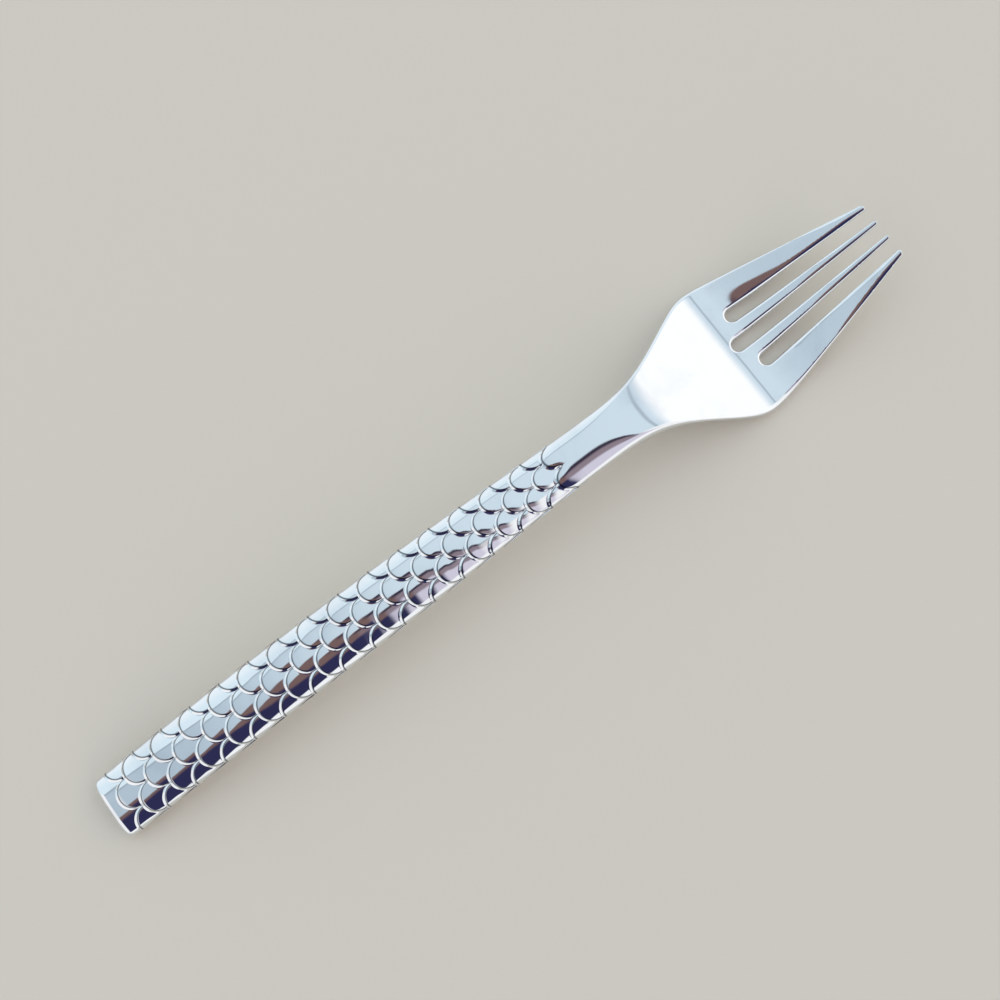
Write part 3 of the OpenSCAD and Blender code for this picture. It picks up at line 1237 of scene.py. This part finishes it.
    def height(
        self, s: Array, y: Array, gap: Array, slot_side: Array, face: Face
    ) -> Array:
        """Return the height of a skin of the head.

        Args:
            s: Stations.
            y: Places across the width.
            gap: Distances to the nearest edge.
            slot_side: Whether that edge is a slot's.
            face: Skin to follow.

        Returns:
            Heights in the row frame.
        """
        form = self.form
        width = self.edge_widths(s, y, slot_side)
        across = np.abs(y) / form.half_width(s)
        level = form.profile(s) - form.rest_level()
        depth = form.depth(s, face)
        if face is Face.FRONT:
            depth = depth - form.dish(s) * (1 - across**2)
        neck = form.crown(s, np.where(gap > 0, across, 1))
        plate = rolled(np.maximum(gap, 0) / width, self.edge_roll)
        share = neck + (plate - neck) * self.past_joint(self.plate_run, s)
        reach = np.minimum(form.head_width, self.tine_half(s, y))
        slope = self.root_crown * np.minimum(1, reach / self.root_half) ** 2
        slope = slope * self.past_shoulder(self.root_rise, s) * slot_side
        slope = slope * (1 - self.past_shoulder(self.root_fall, s))
        fall = slope * reach / 2 * (1 - np.clip(gap / reach, 0, 1)) ** 2
        reach = np.minimum(reach, self.tip_reach)
        slope = self.tip_crown * self.past_shoulder(self.tip_rise, s)
        fall = fall + slope * reach / 2 * (1 - np.clip(gap / reach, 0, 1)) ** 2
        return level + face.value * (depth - fall) * share

    def nearest(
        self, points: Array, edges: Array, slots: Array
    ) -> tuple[Array, Array, Array]:
        """Measure the distance from points to the outline.

        Args:
            points: Stations and places across the width.
            edges: Corners of the outline, in order.
            slots: Whether the stretch after each corner is a slot's.

        Returns:
            Distances, unit vectors away from the edge, and whether it is a slot's.
        """
        a, b = edges[:-1], edges[1:]
        run = b - a
        gaps, ways, kinds = [], [], []
        for part in np.array_split(points, max(1, len(points) // self.batch)):
            offset = part[:, None, :] - a[None]
            share = (offset * run).sum(-1) / (run * run).sum(-1)
            foot = a + np.clip(share, 0, 1)[..., None] * run
            away = part[:, None, :] - foot
            size = np.sqrt((away * away).sum(-1))
            best = size.argmin(axis=1)
            rows = np.arange(len(part))
            gap = size[rows, best]
            gaps.append(gap)
            ways.append(away[rows, best] / np.maximum(gap, SAME_PLACE)[:, None])
            kinds.append(slots[best])
        return np.concatenate(gaps), np.concatenate(ways), np.concatenate(kinds)

    def outline(self) -> tuple[Array, Array]:
        """Return the head's outline from the joint round the tines and back.

        Returns:
            Corners, and whether the stretch after each corner is a slot's.
        """
        side = self.side_edge()
        low = side * [1, -1]
        parts, kinds = [low], [np.zeros(len(low), bool)]
        for index in self.slot_places:
            slot = self.slot_edge_points(index)
            parts.append(slot)
            kinds.append(np.arange(len(slot)) < len(slot) - 1)
        parts.append(side[::-1])
        kinds.append(np.zeros(len(side), bool))
        corners, slots = np.concatenate(parts), np.concatenate(kinds)
        apart = np.linalg.norm(np.diff(corners, axis=0, append=[[0, 0]]), axis=1)
        return corners[apart > SAME_PLACE], slots[apart > SAME_PLACE]

    def inner_points(
        self, edges: Array, slots: Array, lead: Array, lead_slots: Array
    ) -> Array:
        """Return rings of points along the rounded edges and a net between them.

        Args:
            edges: Corners of the outline.
            slots: Whether the stretch after each corner is a slot's.
            lead: Outline with both sides carried on past the joint, to measure from.
            lead_slots: Whether the stretch after each corner of it is a slot's.

        Returns:
            Stations and places across the width.
        """
        form = self.form
        way = edge_ways(edges)
        inward = np.stack([-way[:, 1], way[:, 0]], axis=1)
        slot_side = slots | np.concatenate([[False], slots[:-1]])
        width = self.edge_widths(edges[:, 0], edges[:, 1], slot_side)
        kept = []
        for turn in np.linspace(0, math.pi / 2, self.ring_count + 1)[1:]:
            inset = width * (1 - math.cos(turn))
            ring = (edges + inward * inset[:, None])[1:-1]
            gap, _, _ = self.nearest(ring, lead, lead_slots)
            good = gap > self.ring_room * inset[1:-1]
            good &= ring[:, 0] > form.handle_length + self.ring_start
            kept.append(ring[good])
        across = np.arange(-form.head_width / 2, form.head_width / 2, self.inner_step)
        start = form.handle_length + self.net_start
        along = np.arange(start, form.length, self.inner_step)
        s, y = np.meshgrid(along, across, indexing="ij")
        y = y + self.inner_step / 2 * (np.arange(len(along)) % 2)[:, None]
        net = np.stack([s.ravel(), y.ravel()], axis=1)
        net = net[np.abs(net[:, 1]) < form.half_width(net[:, 0])]
        gap, _, kind = self.nearest(net, lead, lead_slots)
        room = self.edge_widths(net[:, 0], net[:, 1], kind)
        solid = np.ones(len(net), bool)
        radius = self.slot_width / 2
        for index in self.slot_places:
            middle = self.slot_middle(index, net[:, 0])
            inside = np.abs(net[:, 1] - middle) < radius + self.net_slot_gap
            solid &= ~(inside & (net[:, 0] > self.slot_root(index) - radius))
        kept.append(net[solid & (gap > self.net_room * room)])
        return np.concatenate(kept)

    def normals(
        self, points: Array, gap: Array, away: Array, kind: Array, face: Face
    ) -> Array:
        """Return the directions square to a skin of the head.

        Args:
            points: Stations and places across the width.
            gap: Distances to the nearest edge.
            away: Unit vectors away from that edge.
            kind: Whether that edge is a slot's.
            face: Skin to follow.

        Returns:
            Unit vectors that point out of the steel.
        """
        s, y, tiny = points[:, 0], points[:, 1], self.slope_step
        slopes = []
        for axis in (0, 1):
            step = np.zeros(2)
            step[axis] = tiny
            heights = [
                self.height(
                    s + sign * step[0],
                    y + sign * step[1],
                    gap + sign * tiny * away[:, axis],
                    kind,
                    face,
                )
                for sign in (1, -1)
            ]
            slopes.append((heights[0] - heights[1]) / (2 * tiny))
        up = np.stack([-slopes[0], -slopes[1], np.ones(len(s))], axis=1) * face.value
        return up / np.linalg.norm(up, axis=1)[:, None]

    def tang_rings(self) -> Array:
        """Return the corners of the tang, ring by ring from the joint to its end.

        Returns:
            Points in the row frame, with four corners in each ring.
        """
        form = self.form
        s = form.handle_length - self.tang_length * np.linspace(0, 1, self.tang_steps)
        share = ease(form.handle_length - self.tang_length, form.handle_length, s)
        half = self.tang_width / 2 * (self.tang_taper + (1 - self.tang_taper) * share)
        level = form.profile(s) - form.rest_level()
        rings = []
        for across, up in ((-1, -1), (1, -1), (1, 1), (-1, 1)):
            z = level + up * self.tang_thick / 2
            rings.append(np.stack([s - form.length / 2, across * half, z], axis=1))
        return np.stack(rings, axis=1)

    def joint_line(self) -> Array:
        """Return points across the joint, from the +Y side to the -Y side.

        Returns:
            Stations and places across the width, without the two corners.
        """
        form = self.form
        half = float(form.half_width(np.array([form.handle_length]))[0])
        turn = np.linspace(0, math.pi / 2, self.ring_count + 1)[1:]
        inset = self.neck_edge * (1 - np.cos(turn))
        flat = half - self.neck_edge
        middle = np.linspace(flat, -flat, self.joint_steps)[1:-1]
        y = np.concatenate([half - inset, middle, (inset - half)[::-1]])
        return np.stack([np.full(len(y), form.handle_length), y], axis=1)

    def build(self) -> bpy.types.Object:
        """Build the head's mesh.

        Returns:
            The head and tang as one closed object.
        """
        form = self.form
        edges, slots = self.outline()
        back = form.handle_length - self.lead_length
        half = float(form.half_width(np.array([back]))[0])
        lead = np.concatenate([[[back, -half]], edges, [[back, half]]])
        lead_slots = np.concatenate([[False], slots, [False]])
        joint = self.joint_line()
        inner = self.inner_points(edges, slots, lead, lead_slots)
        plan = np.concatenate([edges, joint, inner])
        loop = list(range(len(edges) + len(joint)))
        verts, _, triangles, origins, _, _ = delaunay_2d_cdt(
            [Vector(p) for p in plan.tolist()], [], [loop], 1, PLAN_LIMIT
        )
        points = np.array([tuple(p) for p in verts])
        rim = np.array([any(k < len(edges) for k in o) for o in origins])
        gap, away, kind = self.nearest(points, lead, lead_slots)
        gap[rim] = 0.0
        count = len(points)
        x = points[:, 0] - form.length / 2
        skins = []
        for face in Face:
            z = self.height(points[:, 0], points[:, 1], gap, kind, face)
            skins.append(np.stack([x, points[:, 1], z], axis=1))
        under = np.where(rim, np.arange(count), np.arange(count) + count)
        faces = [list(f) for f in triangles]
        faces += [[int(under[k]) for k in reversed(f)] for f in triangles]
        skin_faces = len(faces)
        rings = self.tang_rings()
        corners = np.concatenate([skins[0], skins[1], rings.reshape(-1, 3)])
        faces += self.tang_faces(corners, points, under, 2 * count)
        smooth = np.arange(len(faces)) < skin_faces
        piece = add_piece(self.name, corners, faces, smooth)
        shading = np.zeros((len(corners), 3))
        for first, face in ((0, Face.FRONT), (count, Face.BACK)):
            shading[first : first + count] = self.normals(points, gap, away, kind, face)
        self.shade(piece, shading, edges, points, rim)
        return piece

    def tang_faces(
        self, corners: Array, points: Array, under: Array, first: int
    ) -> list[Polygon]:
        """Return the faces that close the joint round the tang, and the tang's own.

        Args:
            corners: All corners of the head.
            points: Plan of the skins.
            under: Number of the underside's corner below each point.
            first: Number of the tang's first corner.

        Returns:
            Corner numbers of each face.
        """
        joint = self.form.handle_length + SAME_PLACE
        on_joint = np.flatnonzero(points[:, 0] < joint)
        order = on_joint[np.argsort(points[on_joint, 1])]
        top = [int(k) for k in order]
        low = [int(under[k]) for k in order[1:-1]]
        loop = top + low[::-1]
        hole = [first + k for k in range(4)]
        flat = [Vector((corners[k][1], corners[k][2])) for k in loop + hole]
        n = len(loop)
        ties = [(k, (k + 1) % n) for k in range(n)]
        ties += [(n + k, n + (k + 1) % 4) for k in range(4)]
        _, _, cap, origins, _, _ = delaunay_2d_cdt(flat, ties, [], 2, PLAN_LIMIT)
        names = loop + hole
        cap = [[origins[k][0] for k in reversed(f)] for f in cap]
        made = [[names[k] for k in f] for f in cap if min(f) < n]
        last = first + 4 * (self.tang_steps - 1)
        for a in range(first, last, 4):
            b = a + 4
            made += [[a + k, b + k, b + (k + 1) % 4, a + (k + 1) % 4] for k in range(4)]
        made.append([last + k for k in (3, 2, 1, 0)])
        return made

    def shade(
        self,
        piece: bpy.types.Object,
        shading: Array,
        edges: Array,
        points: Array,
        rim: Array,
    ) -> None:
        """Set the exact normals of the skins, so that reflections run on smoothly.

        Args:
            piece: The head.
            shading: Normals of the corners of both skins.
            edges: Corners of the outline.
            points: Plan of the skins.
            rim: Whether each point is on the outline.
        """
        mesh, way = piece.data, edge_ways(edges)
        outward = np.stack([way[:, 1], -way[:, 0], np.zeros(len(way))], axis=1)
        for k in np.flatnonzero(rim):
            nearest = int(np.argmin(((edges - points[k]) ** 2).sum(axis=1)))
            shading[k] = outward[nearest]
        normals = np.zeros((len(mesh.loops), 3))
        for polygon in mesh.polygons:
            for loop in polygon.loop_indices:
                vertex = mesh.loops[loop].vertex_index
                smooth = polygon.use_smooth
                normals[loop] = shading[vertex] if smooth else polygon.normal
        mesh.normals_split_custom_set(normals.tolist())


@dataclass(frozen=True)
class HandleFilling:
    """Cement that fills the handle, which keeps its CAD shape."""

    finish: SetCement
    node: str = "handle_cement"

    def dress(self) -> bpy.types.Object:
        """Give the CAD node its finish.

        Returns:
            The node's own object.
        """
        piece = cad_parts[self.node]
        piece.material_slots[0].material = self.finish.build()
        return piece


@dataclass(frozen=True)
class LightTent:
    """Pale tent with a dark flag of cloth in it, which the steel mirrors.

    Each part is placed by the direction that it is seen in. A span holds the two values
    of that direction's x, y or z between which a colour changes.
    """

    # Roof, and the grey seam along its edge.
    dim_roof: Colour = (0.50, 0.60, 0.69)
    lit_roof: Colour = (0.70, 0.82, 0.91)
    roof_fade: Span = (-0.4, 0.25)
    seam: Colour = (0.22, 0.27, 0.31)
    seam_run: Span = (-0.08, 0.0)
    seam_power: float = 2.5
    seam_share: float = 0.5
    # Bright panel, and the grey post before it.
    panel: Colour = (1.15, 1.15, 1.15)
    panel_turn: float = 0.2
    post_start: Span = (0.39, 0.42)
    post_end: Span = (0.46, 0.43)
    panel_start: Span = (0.46, 0.66)
    panel_end: Span = (0.46, 0.4)
    # Sides.
    near_side: Colour = (0.78, 0.92, 1.0)
    far_side: Colour = (0.92, 1.0, 1.06)
    side_fade: Span = (0.48, 0.95)
    side_run: Span = (-0.28, 0.02)
    side_level: Span = (0.36, 0.475)
    side_edge: Span = (-0.005, 0.025)
    # Low walls, whose top is lower towards the handle's end.
    low_wall: Colour = (1.02, 1.02, 1.03)
    wall_end: Span = (-0.57, -0.65)
    wall_top: Span = (0.64, 0.56)
    wall_near: Span = (-0.03, -0.12)
    lift_run: Span = (-0.45, -0.15)
    lift: Span = (0.25, 0.0)
    # Flag: its colours.
    cool_flag: Colour = (0.03, 0.03, 0.09)
    warm_flag: Colour = (0.20, 0.125, 0.12)
    dark_flag: Colour = (0.045, 0.035, 0.06)
    mauve_flag: Colour = (0.29, 0.23, 0.27)
    pale_flag: Colour = (0.70, 0.66, 0.78)
    # Flag: its outline.
    flag_rise: Span = (-0.4, 0.02)
    flag_level: Span = (0.0, 0.115)
    flag_fall: Span = (0.14, 0.28)
    flag_drop: Span = (0.0, -0.18)
    flag_edge: Span = (-0.015, 0.015)
    flag_end: Span = (0.28, 0.2)
    flag_foot: Span = (-0.78, -0.7)
    foot_lift: float = 0.5
    # Flag: where its colours change.
    warm_run: Span = (-0.35, -0.05)
    warm_width: Span = (0.0, 0.16)
    warm_edge: Span = (0.03, 0.13)
    dark_run: Span = (-0.05, 0.08)
    dark_width: Span = (0.1, 0.04)
    mauve_run: Span = (0.02, 0.1)
    pale_run: Span = (0.05, 0.12)

    def tent(
        self,
        w: Wiring,
        x: bpy.types.NodeSocket,
        y: bpy.types.NodeSocket,
        deep: bpy.types.NodeSocket,
    ) -> bpy.types.NodeSocket:
        """Wire the roof, the walls and the bright panel.

        Args:
            w: Wiring of the world.
            x: Share of each direction along the fork.
            y: Share of each direction across the fork.
            deep: Height of each direction over the low wall.

        Returns:
            The socket that holds the tent's colour.
        """
        out = w.math("SUBTRACT", x, w.math("MULTIPLY", y, self.panel_turn))
        over = w.math("SUBTRACT", y, w.spread(x, *self.side_run, self.side_level))
        fade = w.spread(x, *self.roof_fade)
        colour = w.mix(fade, self.dim_roof, self.lit_roof)
        post = w.both(w.spread(out, *self.post_start), w.spread(out, *self.post_end))
        seam = w.math("POWER", w.spread(over, *self.seam_run), self.seam_power)
        seam = w.math("MULTIPLY", w.either(seam, post), self.seam_share)
        colour = w.mix(seam, colour, self.seam)
        low = w.either(w.spread(x, *self.wall_end), w.spread(deep, *self.wall_top))
        low = w.either(low, w.spread(y, *self.wall_near))
        colour = w.mix(low, colour, self.low_wall)
        side = w.mix(w.spread(y, *self.side_fade), self.near_side, self.far_side)
        colour = w.mix(w.spread(over, *self.side_edge), colour, side)
        panel = w.both(w.spread(out, *self.panel_start), w.spread(y, *self.panel_end))
        return w.mix(panel, colour, self.panel)

    def flag(
        self, w: Wiring, x: bpy.types.NodeSocket, y: bpy.types.NodeSocket
    ) -> tuple[bpy.types.NodeSocket, bpy.types.NodeSocket]:
        """Wire the flag, which is warm at its top and dark blue or pale below.

        Args:
            w: Wiring of the world.
            x: Share of each direction along the fork.
            y: Share of each direction across the fork.

        Returns:
            The sockets that hold the mask below the flag's top and the flag's colour.
        """
        rise = w.spread(x, *self.flag_rise, self.flag_level)
        fall = w.spread(x, *self.flag_fall, self.flag_drop)
        drop = w.math("SUBTRACT", w.math("ADD", rise, fall), y)
        warm = w.spread(x, *self.warm_run, self.warm_width)
        lower_share = w.spread(w.math("SUBTRACT", drop, warm), *self.warm_edge)
        lower = w.mix(w.spread(x, *self.pale_run), self.cool_flag, self.pale_flag)
        dark = w.both(w.spread(x, *self.dark_run), w.spread(drop, *self.dark_width))
        upper = w.mix(w.spread(x, *self.mauve_run), self.warm_flag, self.mauve_flag)
        upper = w.mix(dark, upper, self.dark_flag)
        return w.spread(drop, *self.flag_edge), w.mix(lower_share, upper, lower)

    def build(self) -> bpy.types.World:
        """Build the soft light round the fork.

        Returns:
            A world with a pale roof, brighter sides, a panel and a dark flag.
        """
        world = bpy.data.worlds.new("soft_studio")
        bpy.context.scene.world = world
        world.use_nodes = True
        w = Wiring(world.node_tree)
        parts = w.node("ShaderNodeSeparateXYZ")
        w.feed(parts.inputs[0], w.node("ShaderNodeTexCoord").outputs["Generated"])
        x, y, z = parts.outputs
        lift = w.spread(x, *self.lift_run, self.lift)
        deep = w.math("ADD", z, lift)
        foot = w.math("ADD", y, w.math("MULTIPLY", lift, self.foot_lift))
        below_top, flag = self.flag(w, x, y)
        ends = w.both(w.spread(x, *self.wall_end[::-1]), w.spread(x, *self.flag_end))
        feet = w.both(
            w.spread(foot, *self.flag_foot), w.spread(deep, *self.wall_top[::-1])
        )
        hung = w.both(below_top, w.both(ends, feet))
        colour = w.mix(hung, self.tent(w, x, y, deep), flag)
        w.feed(world.node_tree.nodes["Background"].inputs["Color"], colour)
        return world


@dataclass(frozen=True)
class Studio:
    """Pale floor, light tent and camera."""

    tent: LightTent = field(default_factory=LightTent)
    floor_colour: Colour = (0.80, 0.74, 0.64)
    floor_rough: float = 0.7
    floor_radius: float = 3.0
    floor_corners: int = 96
    # Camera: where it looks, how it leans and turns, and its lens.
    target: tuple[float, float, float] = (2.858, 4.065, 0.0)
    lean_along: float = -3.1164
    lean_across: float = 9.7697
    distance: float = 300.0
    roll: float = 36.6305
    lens: float = 50.96
    sensor: float = 36.0
    nearest: float = 0.01

    def floor(self) -> bpy.types.Object:
        """Build the floor.

        Returns:
            A wide plain disc with its top at height 0.
        """
        mesh = bpy.data.meshes.new("floor")
        shape = bmesh.new()
        bmesh.ops.create_circle(
            shape, cap_ends=True, segments=self.floor_corners, radius=self.floor_radius
        )
        shape.to_mesh(mesh)
        shape.free()
        floor = bpy.data.objects.new("floor", mesh)
        bpy.context.scene.collection.objects.link(floor)
        material = bpy.data.materials.new("pale_floor")
        material.use_nodes = True
        shader = material.node_tree.nodes["Principled BSDF"]
        shader.inputs["Base Color"].default_value = (*self.floor_colour, 1)
        shader.inputs["Roughness"].default_value = self.floor_rough
        mesh.materials.append(material)
        return floor

    def camera(self) -> bpy.types.Object:
        """Place the camera at the picture's viewing angle.

        Returns:
            The scene's camera.
        """
        aim = Vector(self.target) * MM
        side = math.sin(math.radians(self.lean_along))
        front = -math.sin(math.radians(self.lean_across))
        back = Vector((side, front, math.sqrt(1 - side * side - front * front)))
        level = (Vector((1, 0, 0)) - back * back.x).normalized()
        over = back.cross(level)
        turn = math.radians(self.roll)
        right = level * math.cos(turn) - over * math.sin(turn)
        up = level * math.sin(turn) + over * math.cos(turn)
        data = bpy.data.cameras.new("camera")
        data.lens = self.lens
        data.sensor_width = self.sensor
        data.clip_start = self.nearest
        camera = bpy.data.objects.new("camera", data)
        bpy.context.scene.collection.objects.link(camera)
        place = Matrix((right, up, back)).transposed().to_4x4()
        place.translation = aim + back * self.distance * MM
        camera.matrix_world = place
        bpy.context.scene.camera = camera
        return camera

    def build(self) -> None:
        """Build the floor, the light and the camera."""
        self.floor()
        self.tent.build()
        self.camera()
        bpy.context.scene.view_settings.view_transform = "Standard"


def main() -> None:
    """Build the fork's pieces in order, then the studio."""
    logging.basicConfig(level=logging.INFO, format="%(name)s: %(message)s")
    form = ForkForm()
    polishing_marks()
    handling_haze()
    head = ForgedHead(
        form=form,
        finish=PolishedSteel("head_polish"),
        node="fork_head",
        slot="head_steel",
        name="forged_head",
    )
    front = ScaleShell(
        form=form,
        # The scale shell's polish paints a dark reflection line along the crests of its
        # scales.
        finish=PolishedSteel("scale_polish", paints_reflection_line=True),
        node="handle_front",
        slot="front_steel",
        name="scale_shell",
    )
    back = PressedShell(
        form=form,
        finish=PolishedSteel("back_polish"),
        node="handle_back",
        slot="back_steel",
        name="plain_shell",
        face=Face.BACK,
    )
    for part in (head, front, back):
        piece = part.build()
        part.dress(piece)
        LOG.info("%s: %d faces", piece.name, len(piece.data.polygons))
    filling = HandleFilling(SetCement()).dress()
    LOG.info("%s: CAD shape, new finish", filling.name)
    Studio().build()


if __name__ == "__main__":
    main()
